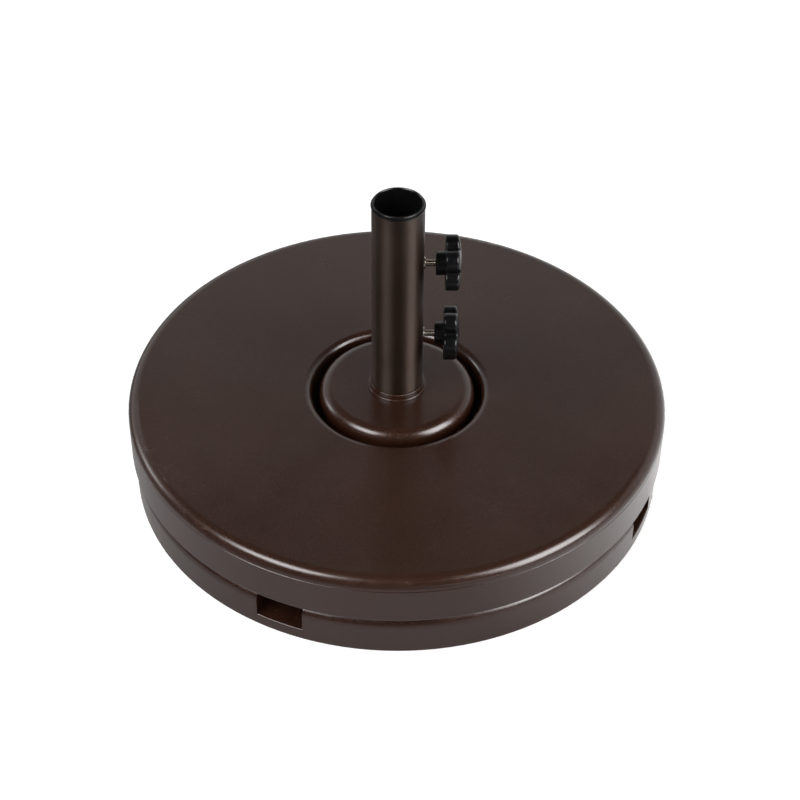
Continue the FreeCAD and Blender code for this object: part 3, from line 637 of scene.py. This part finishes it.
def put_out_shape(tree, given, end, shape):
    """Give the shape the tree's material and put it out."""
    feeds = {0: shape, "Material": given["Material"]}
    tree.links.new(first_out(tree, "GeometryNodeSetMaterial", feeds), end.inputs[0])


ROUND_INPUTS = (
    ("Count", "Int"),
    ("Radius", "Float"),
    ("Level", "Float"),
    ("First Bearing", "Float"),
    ("Material", "Material"),
)


def tack_weld_tree():
    """Short rippled weld beads that lie along a circle, seen from below."""
    bead_sizes = ("Length", "Width", "Height", "Ripple", "Seed")
    inputs = (*ROUND_INPUTS, *[(name, "Float") for name in bead_sizes])
    tree, given, end = geo_tree("tack_welds", inputs)
    points, bearing = round_spots(tree, given)
    ball_feeds = {"Segments": TACK_SEGMENTS, "Rings": TACK_RINGS, "Radius": 0.5}
    ball = first_out(tree, "GeometryNodeMeshUVSphere", ball_feeds)
    thick = maths(tree, "MULTIPLY", given["Height"], 2.0)
    girth_feeds = {0: given["Width"], 1: given["Length"], 2: thick}
    girth = first_out(tree, "ShaderNodeCombineXYZ", girth_feeds)
    beads = copies_at(tree, points, ball, bearing, Scale=girth)
    place = first_out(tree, "GeometryNodeInputPosition")
    noise_feeds = {"Vector": place, "W": given["Seed"], "Scale": TACK_RIPPLE_SCALE, "Detail": 1.0}
    noise = first_out(tree, "ShaderNodeTexNoise", noise_feeds, noise_dimensions="4D")
    push = maths(tree, "MULTIPLY", maths(tree, "SUBTRACT", noise, 0.5), given["Ripple"])
    outward = first_out(tree, "GeometryNodeInputNormal")
    offset_feeds = {0: outward, "Scale": push}
    offset = first_out(tree, "ShaderNodeVectorMath", offset_feeds, operation="SCALE")
    beads = first_out(tree, "GeometryNodeSetPosition", {"Geometry": beads, "Offset": offset})
    beads = first_out(tree, "GeometryNodeSetShadeSmooth", {0: beads})
    put_out_shape(tree, given, end, beads)
    return tree


plate_edge = round_edge_at("base_bottom_plate", False, 0.0, PLATE_RUB_REACH, PLATE_RUB)
plate_coat = coat_material("plate_coat", [plate_edge], 0.0, PLATE_CLOUD_SCALE)
paint(plate_coat, "base_bottom_plate", "ring_bottom_plate")
tack_welds = tack_weld_tree()
for weight, plate in (("base", "base_bottom_plate"), ("ring", "ring_bottom_plate")):
    plate_low, plate_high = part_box(plate)
    sizes = {
        "Count": TACK_COUNT,
        "Radius": plate_high.y,
        "Level": plate_low.z,
        "First Bearing": math.pi / TACK_COUNT,
        "Length": TACK_LENGTH,
        "Width": TACK_WIDTH,
        "Height": TACK_HEIGHT,
        "Ripple": TACK_RIPPLE,
        "Seed": TACK_SEED,
        "Material": plate_coat,
    }
    tacks = geo_piece(f"{weight}_tack_welds", tack_welds, sizes)
    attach(tacks, weight)

# ---- foot pads ------------------------------------------------------------------------
# Six moulded rubber discs glued under the base, with grooves that grip the floor and a
# hollow in the middle, so that the weight doesn't rock or scratch.

PAD_BLACK = (0.012, 0.012, 0.0125)
PAD_WORN = (0.032, 0.031, 0.030)
PAD_ROUGH = (0.62, 0.85)
PAD_SPECULAR = 0.35
PAD_PATCH_SCALE = 60.0
PAD_GRAIN_SCALE = 1800.0
PAD_GRAIN_DEPTH = 0.00012
PAD_SIDES = 48
PAD_FIRST_BEARING = math.radians(30.0)
PAD_COUNT = 6
MM = 0.001
SHARP_FROM = math.radians(32.0)
FOOT_PROFILE = (
    # hollow in the middle
    (0.0, 0.8), (5.2, 0.8), (6.0, 0.2), (6.5, 0.0),
    # grip groove
    (11.0, 0.0), (11.4, 0.5), (12.2, 0.5), (12.6, 0.0),
    # round edge and top
    (17.4, 0.0), (18.5, 0.15), (19.4, 0.6), (19.85, 1.3), (20.0, 2.2), (20.0, 3.0), (0.0, 3.0),
)


def round_point(radius, angle, height):
    """Place at a radius and an angle about the upright axis."""
    return (radius * math.cos(angle), radius * math.sin(angle), height)


def turned_mesh(name, profile, sides):
    """Closed mesh of revolution about the upright axis through (radius, height) in mm."""
    shape = bmesh.new()
    rings = []
    for radius, height in profile:
        count = sides if radius else 1
        angles = [math.tau * side / sides for side in range(count)]
        points = [round_point(radius * MM, angle, height * MM) for angle in angles]
        rings.append([shape.verts.new(point) for point in points])
    for lower, upper in zip(rings, rings[1:]):
        for side in range(sides):
            after = (side + 1) % sides
            spots = ((lower, side), (lower, after), (upper, after), (upper, side))
            corners = [ring[at % len(ring)] for ring, at in spots]
            shape.faces.new(list(dict.fromkeys(corners)))
    bmesh.ops.recalc_face_normals(shape, faces=shape.faces)
    mesh = bpy.data.meshes.new(name)
    shape.to_mesh(mesh)
    shape.free()
    return mesh


def smooth(mesh):
    """Smooth shading, with the sharper corners kept."""
    for face in mesh.polygons:
        face.use_smooth = True
    mesh.set_sharp_from_angle(angle=SHARP_FROM)


def rubber_material():
    material, tree, shader = new_material("moulded_rubber")
    place = object_place(tree)
    patch = fit(tree, grain(tree, place, PAD_PATCH_SCALE, 5.0, 0.7), 0.4, 0.7, 0.0, 1.0)
    colour = mix(tree, patch, (*PAD_BLACK, 1.0), (*PAD_WORN, 1.0))
    fine = grain(tree, place, PAD_GRAIN_SCALE, 2.0, 0.6)
    feed_shader(
        tree,
        shader,
        Base_Color=colour,
        Roughness=fit(tree, patch, 0.0, 1.0, *PAD_ROUGH),
        Normal=bump(tree, fine, PAD_GRAIN_DEPTH),
        Specular_IOR_Level=PAD_SPECULAR,
    )
    return material


def pad_tree():
    """Copies of one pad set round a circle."""
    tree, given, end = geo_tree("pad_circle", (*ROUND_INPUTS, ("Pad", "Object")))
    points, bearing = round_spots(tree, given)
    pad = node(tree, "GeometryNodeObjectInfo", {"Object": given["Pad"]}).outputs["Geometry"]
    put_out_shape(tree, given, end, copies_at(tree, points, pad, bearing))
    return tree


def lay_pads(name, body, profile):
    """Pads of one profile in the places of a CAD node's discs."""
    low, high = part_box(name)
    widest = max(radius for radius, height in profile) * MM
    mesh = turned_mesh(f"{name}_one", profile, PAD_SIDES)
    pattern = link(bpy.data.objects.new(f"{name}_one", mesh))
    sizes = {
        "Count": PAD_COUNT,
        "Radius": high.y - widest,
        "Level": low.z,
        "First Bearing": PAD_FIRST_BEARING,
        "Pad": pattern,
        "Material": rubber,
    }
    pads = geo_piece(f"{name}_moulded", pads_round, sizes)
    bpy.data.objects.remove(pattern)
    smooth(pads.data)
    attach(pads, body)
    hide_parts(name)


rubber = rubber_material()
pads_round = pad_tree()
lay_pads("foot_pads", "base", FOOT_PROFILE)

# ---- stem -----------------------------------------------------------------------------
# A straight length of drawn steel tube in a metallic bronze powder coat. It stands in the
# socket. Its coat was buffed as the tube was turned, so highlights draw out lengthwise.
# A much lighter line along its top edge is a painted highlight, with the coat worn thin there.

STEM_BODY = (0.030, 0.0175, 0.0117)
STEM_DEEP = (0.022, 0.0127, 0.0083)
STEM_FLAKE = (0.080, 0.050, 0.035)
# colour of the painted highlight along the tube's top edge, partly coat worn thin at the cut end
STEM_RIM_HIGHLIGHT_AND_WEAR = (0.24, 0.16, 0.12)
STEM_METALLIC = 0.70
STEM_SMOOTH = 0.50
STEM_DULL = 0.57
STEM_DRAWN_OUT = 0.95
STEM_COAT_WEIGHT = 0.12
STEM_COAT_ROUGHNESS = 0.12
QUARTER_TURN = 0.25
STEM_PEEL_DEPTH = 0.000006
STEM_CLOUD_SCALE = 16.0
STEM_FLAKE_SCALE = 1700.0
STEM_FLAKE_SHARE = 0.16
STEM_PEEL_SCALE = 520.0
STEM_RIM_HIGHLIGHT_REACH = 0.0016
STEM_RIM_HIGHLIGHT_AND_WEAR_AMOUNT = 0.9
STEM_RIM_HIGHLIGHT_PATCH_SCALE = 40.0


def stem_material():
    material, tree, shader = new_material("stem_coat")
    place = object_place(tree)
    skin = use(
        tree,
        powder_coat,
        {
            "Place": place,
            "Body": STEM_BODY,
            "Deep": STEM_DEEP,
            "Flake": STEM_FLAKE,
            "Cloud Scale": STEM_CLOUD_SCALE,
            "Flake Scale": STEM_FLAKE_SCALE,
            "Flake Share": STEM_FLAKE_SHARE,
            "Peel Scale": STEM_PEEL_SCALE,
            "Smooth": STEM_SMOOTH,
            "Dull": STEM_DULL,
        },
    )
    # The lighter line along the tube's top edge is a painted highlight, partly coat worn thin at
    # the cut end.
    rim = round_edge_at("stem_tube", True, 0.0, STEM_RIM_HIGHLIGHT_REACH, STEM_RIM_HIGHLIGHT_AND_WEAR_AMOUNT)
    worn = worn_along(tree, place, rim, STEM_RIM_HIGHLIGHT_PATCH_SCALE)
    tangent = first_out(tree, "ShaderNodeTangent", direction_type="RADIAL", axis="Z")
    feed_shader(
        tree,
        shader,
        Base_Color=mix(tree, worn, skin["Colour"], (*STEM_RIM_HIGHLIGHT_AND_WEAR, 1.0)),
        Roughness=skin["Roughness"],
        Metallic=STEM_METALLIC,
        Anisotropic=STEM_DRAWN_OUT,
        Anisotropic_Rotation=QUARTER_TURN,
        Tangent=tangent,
        Coat_Weight=STEM_COAT_WEIGHT,
        Coat_Roughness=STEM_COAT_ROUGHNESS,
        Normal=bump(tree, skin["Height"], STEM_PEEL_DEPTH),
    )
    return material


paint(stem_material(), "stem_tube")

# ---- socket floor, end plug and bolt --------------------------------------------------
# The stem is held from below: a bolt goes up through a disc welded in the socket and into
# a threaded plug in the stem's foot. Disc and plug are bare mill steel, the rest is zinc
# plated.

MILL_STEEL = (0.20, 0.19, 0.185)
MILL_SCALE = (0.075, 0.068, 0.064)
ZINC_BRIGHT = (0.46, 0.43, 0.40)
ZINC_YELLOW = (0.38, 0.33, 0.28)
MILL_ROUGH = (0.38, 0.72)
MILL_METALLIC = (1.0, 0.4)
MILL_SCALE_SPAN = (0.42, 0.6)
MILL_SCALE_PATCHES = 90.0
MILL_GRAIN_SCALE = 700.0
MILL_GRAIN_DEPTH = 0.00004
ZINC_ROUGH = (0.12, 0.26)
ZINC_TINT_SCALE = 130.0
ZINC_SPANGLE_SCALE = 420.0
ZINC_GRAIN_SCALE = 2200.0
ZINC_GRAIN_DEPTH = 0.000006
BOLT_ACROSS_FLATS = 0.018
BOLT_THREAD = 0.012
BOLT_PITCH = 0.00175
BOLT_BEVEL = 0.001
BOLT_HEAD_SIDES = 96
HEAD_FACE_SHARE = 0.475
HEAD_CHAMFER = math.tan(math.radians(30.0))
THREAD_DEPTH_SHARE = 0.56
THREAD_CREST_FROM = 0.88
THREAD_ROOT_TO = 0.12
THREAD_SIDES = 36
THREAD_STEPS = 8


def mill_steel_material():
    material, tree, shader = new_material("mill_steel")
    place = object_place(tree)
    scale = grain(tree, place, MILL_SCALE_PATCHES, 7.0, 0.75)
    scale = fit(tree, scale, *MILL_SCALE_SPAN, 0.0, 1.0)
    feed_shader(
        tree,
        shader,
        Base_Color=mix(tree, scale, (*MILL_STEEL, 1.0), (*MILL_SCALE, 1.0)),
        Roughness=fit(tree, scale, 0.0, 1.0, *MILL_ROUGH),
        Metallic=fit(tree, scale, 0.0, 1.0, *MILL_METALLIC),
        Normal=bump(tree, grain(tree, place, MILL_GRAIN_SCALE, 3.0), MILL_GRAIN_DEPTH),
    )
    return material


def zinc_material():
    material, tree, shader = new_material("zinc_plating")
    place = object_place(tree)
    tint = fit(tree, grain(tree, place, ZINC_TINT_SCALE, 3.0, 0.6), 0.35, 0.65, 0.0, 1.0)
    spangle = grain(tree, place, ZINC_SPANGLE_SCALE, 4.0, 0.7)
    feed_shader(
        tree,
        shader,
        Base_Color=mix(tree, tint, (*ZINC_BRIGHT, 1.0), (*ZINC_YELLOW, 1.0)),
        Roughness=fit(tree, spangle, 0.3, 0.7, *ZINC_ROUGH),
        Metallic=1.0,
        Normal=bump(tree, grain(tree, place, ZINC_GRAIN_SCALE, 2.0), ZINC_GRAIN_DEPTH),
    )
    return material


def thread_radius(crest, pitch, height, angle):
    """Radius of a right-hand thread at a height and an angle, flat at crest and root."""
    phase = (height / pitch - angle / math.tau) % 1.0
    flank = abs(2.0 * phase - 1.0)
    cut = (THREAD_CREST_FROM - flank) / (THREAD_CREST_FROM - THREAD_ROOT_TO)
    cut = min(max(cut, 0.0), 1.0)
    return crest - pitch * THREAD_DEPTH_SHARE * cut


def threaded_rod(shape, crest, pitch, start, end, bevel):
    """Rings of vertices up a threaded rod whose ends are bevelled; gives the rings."""
    count = round((end - start) / pitch * THREAD_STEPS)
    rings = []
    for step in range(count + 1):
        height = start + (end - start) * step / count
        limit = crest - bevel + min(height - start, end - height, bevel)
        ring = []
        for side in range(THREAD_SIDES):
            angle = math.tau * side / THREAD_SIDES
            radius = min(thread_radius(crest, pitch, height, angle), limit)
            ring.append(shape.verts.new(round_point(radius, angle, height)))
        rings.append(ring)
    return rings


def skin_rings(shape, rings):
    """Faces between rings of equal length, and a face over each end."""
    for lower, upper in zip(rings, rings[1:]):
        for side in range(len(lower)):
            after = (side + 1) % len(lower)
            shape.faces.new((lower[side], lower[after], upper[after], upper[side]))
    shape.faces.new(list(reversed(rings[0])))
    shape.faces.new(rings[-1])


def bolt_head(shape, across_flats, bottom, top):
    """Hexagon head: its round face, the chamfer's edge and the top, in three rings."""
    rings = []
    face_radius = across_flats * HEAD_FACE_SHARE
    for height, widest in ((bottom, face_radius), (None, None), (top, None)):
        ring = []
        for side in range(BOLT_HEAD_SIDES):
            angle = math.tau * side / BOLT_HEAD_SIDES
            turned_by = (angle + math.pi / 6) % (math.pi / 3) - math.pi / 6
            radius = widest or across_flats / 2 / math.cos(turned_by)
            level = bottom + (radius - face_radius) * HEAD_CHAMFER if height is None else height
            ring.append(shape.verts.new(round_point(radius, angle, level)))
        rings.append(ring)
    skin_rings(shape, rings)


def finished_piece(name, shape, material):
    """Object from a bmesh whose faces all point outwards."""
    bmesh.ops.recalc_face_normals(shape, faces=shape.faces)
    mesh = bpy.data.meshes.new(name)
    shape.to_mesh(mesh)
    shape.free()
    mesh.materials.append(material)
    smooth(mesh)
    return link(bpy.data.objects.new(name, mesh))


mill_steel = mill_steel_material()
zinc = zinc_material()
paint(mill_steel, "socket_floor", "stem_end_plug")
paint(zinc, "stem_bolt_washer")
bolt_low, bolt_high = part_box("stem_bolt")
head_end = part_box("stem_bolt_washer")[0].z
bolt_shape = bmesh.new()
bolt_head(bolt_shape, BOLT_ACROSS_FLATS, bolt_low.z, head_end)
shank_sizes = (BOLT_THREAD / 2, BOLT_PITCH, head_end, bolt_high.z, BOLT_BEVEL)
skin_rings(bolt_shape, threaded_rod(bolt_shape, *shank_sizes))
bolt = finished_piece("stem_bolt_turned", bolt_shape, zinc)
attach(bolt, "base")
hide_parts("stem_bolt")

# ---- stem liner -----------------------------------------------------------------------
# A sleeve of black polyethylene pushed down inside the stem, so that the pole doesn't
# rattle. Its rim sits on the tube's end. Poles leave faint scuffs down its bore.

LINER_BLACK = (0.0042, 0.0042, 0.0045)
LINER_SCUFFED = (0.020, 0.020, 0.021)
LINER_ROUGH = (0.24, 0.30)
LINER_SPECULAR = 0.25
LINER_SCUFF = 0.12
LINER_SCUFF_SPAN = (0.60, 0.75)
LINER_SCUFF_SCALE = 420.0
LINER_SCUFF_DRAWN = (1.0, 1.0, 0.06)
LINER_GRAIN_SCALE = 1100.0
LINER_GRAIN_DEPTH = 0.00001


def liner_material():
    material, tree, shader = new_material("liner_plastic")
    place = object_place(tree)
    drawn = first_out(tree, "ShaderNodeMapping", {"Vector": place, "Scale": LINER_SCUFF_DRAWN})
    scuff = grain(tree, drawn, LINER_SCUFF_SCALE, 4.0, 0.7)
    scuff = fit(tree, scuff, *LINER_SCUFF_SPAN, 0.0, LINER_SCUFF)
    feed_shader(
        tree,
        shader,
        Base_Color=mix(tree, scuff, (*LINER_BLACK, 1.0), (*LINER_SCUFFED, 1.0)),
        Roughness=fit(tree, scuff, 0.0, LINER_SCUFF, *LINER_ROUGH),
        Specular_IOR_Level=LINER_SPECULAR,
        Normal=bump(tree, grain(tree, place, LINER_GRAIN_SCALE, 2.0), LINER_GRAIN_DEPTH),
    )
    return material


paint(liner_material(), "stem_liner")

# ---- clamp bushes ---------------------------------------------------------------------
# Two threaded steel bushes set in the stem's wall, one for each clamp screw, zinc plated.

paint(zinc, "upper_bush", "lower_bush")

# ---- ring weight ----------------------------------------------------------------------
# The second weight lies on the base round the hub: a pressed cap lapped over a rolled
# band, an inner wall and a bottom plate. It has the same bronze powder coat, rubbed at
# its shoulder and round its hole, where it is handled.

HOLE_ROUND = 0.009
HOLE_LAP = 0.003
HOLE_RUB_REACH = 0.004
HOLE_RUB = 0.6
CAP_RUB = 0.55
CAP_DUST = 0.10
BAND_EDGE_IN = 0.001
BAND_RUB_REACH = 0.004
BAND_RUB = 0.9
BAND_CLOUD_SCALE = 9.0

hole_inset = HOLE_ROUND * ARC_INSET
hole_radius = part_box("ring_inner_wall")[1].y - HOLE_LAP
hole_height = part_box("ring_cap")[1].z
hole_edge = (hole_radius + hole_inset, hole_height - hole_inset, HOLE_RUB_REACH, HOLE_RUB)
cap_edge = round_edge_at("ring_cap", True, SHOULDER_INSET, SHOULDER_RUB_REACH, CAP_RUB)
paint(coat_material("ring_cap_coat", [cap_edge, hole_edge], CAP_DUST), "ring_cap")
band_edge = round_edge_at("ring_band", False, BAND_EDGE_IN, BAND_RUB_REACH, BAND_RUB)
band_coat = coat_material("ring_band_coat", [band_edge], 0.0, BAND_CLOUD_SCALE)
paint(band_coat, "ring_band", "ring_inner_wall")

# ---- ring pads ------------------------------------------------------------------------
# Six thin rubber buttons glued under the ring, which keep its edge off the base's coat.

RING_PAD_PROFILE = (
    # crowned face and round edge
    (0.0, 0.0), (6.0, 0.0), (12.2, 0.05), (13.6, 0.3), (14.6, 0.95), (15.0, 1.9),
    # side and glued top
    (15.0, 4.5), (0.0, 4.5),
)

lay_pads("ring_pads", "ring", RING_PAD_PROFILE)

# ---- clamp screws ---------------------------------------------------------------------
# Zinc-plated M8 studs moulded into the knobs on a steel insert. Each runs through its
# bush in the stem's wall, and its end presses on the pole.

STUD_THREAD = 0.008
STUD_PITCH = 0.00125
STUD_BEVEL = 0.0008

paint(zinc, "upper_insert", "lower_insert")
hinges = {joint["name"]: joint for joint in frame["record"]["behaviour"]["joints"]}
for place_name in ("upper", "lower"):
    hinge = hinges[f"{place_name}_knob_turn"]
    axis = Vector(hinge["axis"])
    level = Vector((0.0, 0.0, hinge["pos_m"][2]))
    reaches = [axis.dot(corner.co) for corner in nodes[f"{place_name}_stud"].data.vertices]
    stud_sizes = (STUD_THREAD / 2, STUD_PITCH, min(reaches), max(reaches), STUD_BEVEL)
    stud_shape = bmesh.new()
    skin_rings(stud_shape, threaded_rod(stud_shape, *stud_sizes))
    upright = Vector((0.0, 0.0, 1.0))
    lay_down = upright.rotation_difference(axis).to_matrix().to_4x4()
    set_in = Matrix.Translation(level) @ lay_down
    bmesh.ops.transform(stud_shape, matrix=set_in, verts=stud_shape.verts)
    stud = finished_piece(f"{place_name}_stud_threaded", stud_shape, zinc)
    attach(stud, f"{place_name}_knob")
    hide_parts(f"{place_name}_stud")

# ---- grips ----------------------------------------------------------------------------
# Five-lobed hand grips moulded in black glass-filled nylon round the studs. The mould
# leaves a fine spark-eroded grain, and the lobes shine a little where fingers turn them.

GRIP_BLACK = (0.0020, 0.0021, 0.0023)
GRIP_HANDLED = (0.0050, 0.0052, 0.0056)
GRIP_ROUGH = (0.27, 0.20)
GRIP_SPECULAR = 0.22
GRIP_HANDLED_SCALE = 70.0
GRIP_HANDLED_SPAN = (0.4, 0.65)
GRIP_GRAIN_SCALE = 2600.0
GRIP_GRAIN_DEPTH = 0.00003


def grip_material():
    material, tree, shader = new_material("grip_nylon")
    place = object_place(tree)
    handled = grain(tree, place, GRIP_HANDLED_SCALE, 4.0, 0.6)
    handled = fit(tree, handled, *GRIP_HANDLED_SPAN, 0.0, 1.0)
    pits = grain(tree, place, GRIP_GRAIN_SCALE, 2.0, 0.6)
    feed_shader(
        tree,
        shader,
        Base_Color=mix(tree, handled, (*GRIP_BLACK, 1.0), (*GRIP_HANDLED, 1.0)),
        Roughness=fit(tree, handled, 0.0, 1.0, *GRIP_ROUGH),
        Specular_IOR_Level=GRIP_SPECULAR,
        Normal=bump(tree, pits, GRIP_GRAIN_DEPTH),
    )
    return material


paint(grip_material(), "upper_grip", "lower_grip")
